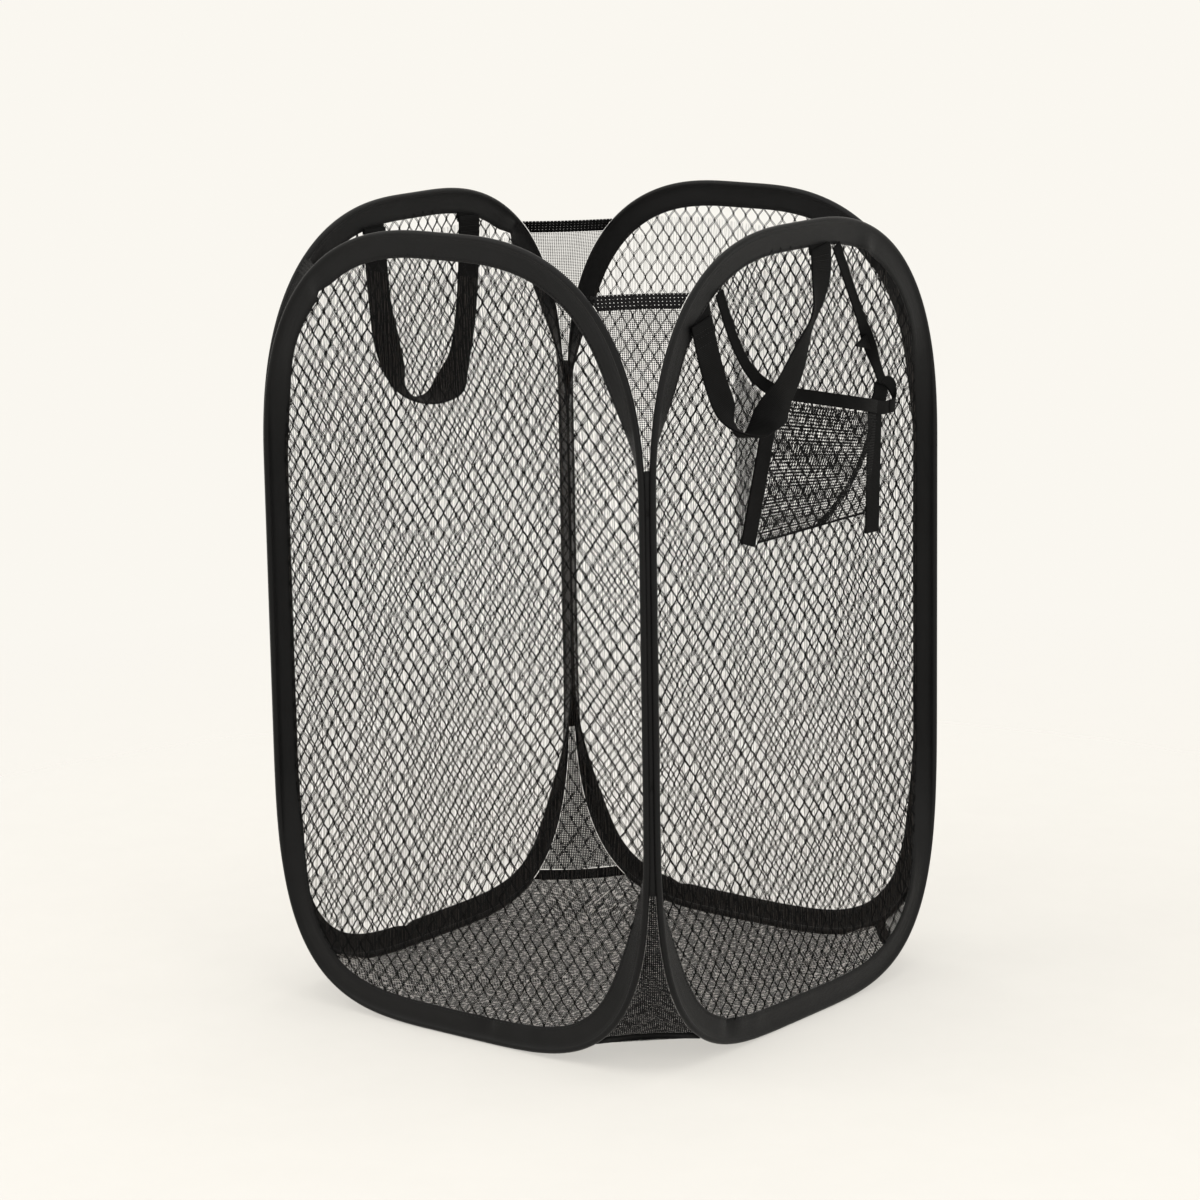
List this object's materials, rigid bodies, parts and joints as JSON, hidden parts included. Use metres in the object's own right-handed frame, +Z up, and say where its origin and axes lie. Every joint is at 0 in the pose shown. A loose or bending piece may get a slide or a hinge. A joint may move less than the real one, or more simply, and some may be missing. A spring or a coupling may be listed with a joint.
{
  "type": "pop up laundry hamper",
  "caption": "Square open-topped hamper of wire hoops in fabric sleeves with net sides, a mesh base, webbing handles and a side pocket. It folds sideways towards flat.",
  "frame": {"origin": "centre of the square base on the floor plane, under the middle of the laundry space", "axes": "+Z up; +X out of the panel with the pocket; -Y out of the front panel"},
  "size_m": [0.4055, 0.3748, 0.61],
  "materials": {
    "spring_steel": "bright drawn spring steel wire, hidden in the sleeves",
    "satin_sleeve": "black satin weave polyester with a soft sheen, creased where it turns",
    "netting": "open knotted diamond net of paired black threads",
    "fine_mesh": "fine black mesh fabric, half see-through",
    "hem_tape": "narrow black binding with an open stitched edge",
    "webbing": "flat black polyester webbing, fine ribbed weave",
    "thread": "black sewing thread"
  },
  "bodies": {
    "front_panel": {"front_hoop_wire": "spring_steel", "front_wire_ferrule": "spring_steel", "front_sleeve": "satin_sleeve", "front_net": "netting", "base_mesh": "fine_mesh", "front_right_upper_gusset": "fine_mesh", "front_right_upper_hem": "hem_tape", "front_right_lower_gusset": "fine_mesh", "front_right_lower_tape": "hem_tape", "front_right_corner_seam": "thread", "front_left_upper_gusset": "fine_mesh", "front_left_upper_hem": "hem_tape", "front_left_lower_gusset": "fine_mesh", "front_left_lower_tape": "hem_tape", "front_left_corner_seam": "thread"},
    "right_panel": {"right_hoop_wire": "spring_steel", "right_wire_ferrule": "spring_steel", "right_sleeve": "satin_sleeve", "right_net": "netting", "pocket_front_mesh": "fine_mesh", "pocket_side_mesh": "fine_mesh", "pocket_rim_tape": "webbing", "pocket_left_binding": "webbing", "pocket_right_binding": "webbing", "back_right_upper_gusset": "fine_mesh", "back_right_upper_hem": "hem_tape", "back_right_lower_gusset": "fine_mesh", "back_right_lower_tape": "hem_tape", "back_right_corner_seam": "thread"},
    "back_panel": {"back_hoop_wire": "spring_steel", "back_wire_ferrule": "spring_steel", "back_sleeve": "satin_sleeve", "back_net": "netting"},
    "left_panel": {"left_hoop_wire": "spring_steel", "left_wire_ferrule": "spring_steel", "left_sleeve": "satin_sleeve", "left_net": "netting"},
    "back_left_corner": {"back_left_upper_gusset": "fine_mesh", "back_left_upper_hem": "hem_tape", "back_left_lower_gusset": "fine_mesh", "back_left_lower_tape": "hem_tape", "back_left_corner_seam": "thread"},
    "right_handle": {"right_handle": "webbing"},
    "left_handle": {"left_handle": "webbing"}
  },
  "joints": [
    {"name": "right_fold", "type": "hinge", "parent": "front_panel", "child": "right_panel", "pos_m": [0.1824, -0.1824, 0.305], "axis": [0, 0, 1], "range_deg": [-75, 75], "stiffness_Nm_per_rad": 0.25, "deforming": ["front_right_upper_gusset", "front_right_upper_hem", "front_right_lower_gusset", "front_right_lower_tape", "front_right_corner_seam", "base_mesh"]},
    {"name": "left_fold", "type": "hinge", "parent": "front_panel", "child": "left_panel", "pos_m": [-0.1824, -0.1824, 0.305], "axis": [0, 0, 1], "range_deg": [-75, 75], "deforming": ["front_left_upper_gusset", "front_left_upper_hem", "front_left_lower_gusset", "front_left_lower_tape", "front_left_corner_seam"]},
    {"name": "back_fold", "type": "hinge", "parent": "right_panel", "child": "back_panel", "pos_m": [0.1824, 0.1824, 0.305], "axis": [0, 0, 1], "range_deg": [-75, 75], "deforming": ["back_right_upper_gusset", "back_right_upper_hem", "back_right_lower_gusset", "back_right_lower_tape", "back_right_corner_seam"]},
    {"name": "back_left_corner_fold", "type": "hinge", "parent": "back_panel", "child": "back_left_corner", "pos_m": [-0.1824, 0.1824, 0.305], "axis": [0, 0, 1], "range_deg": [-75, 75], "deforming": ["back_left_upper_gusset", "back_left_upper_hem", "back_left_lower_gusset", "back_left_lower_tape", "back_left_corner_seam"]},
    {"name": "right_handle_swing", "type": "hinge", "parent": "right_panel", "child": "right_handle", "pos_m": [0.18755, -0.0525, 0.56997], "axis": [0, -0.9655, -0.2606], "range_deg": [0, 160]},
    {"name": "left_handle_swing", "type": "hinge", "parent": "left_panel", "child": "left_handle", "pos_m": [-0.18235, 0.006, 0.58568], "axis": [0, -0.9997, 0.0239], "range_deg": [0, 160]}
  ],
  "couplings": [
    {"joint": "left_fold", "follows": "right_fold", "ratio": 1},
    {"joint": "back_fold", "follows": "right_fold", "ratio": -1},
    {"joint": "back_left_corner_fold", "follows": "right_fold", "ratio": 1}
  ]
}
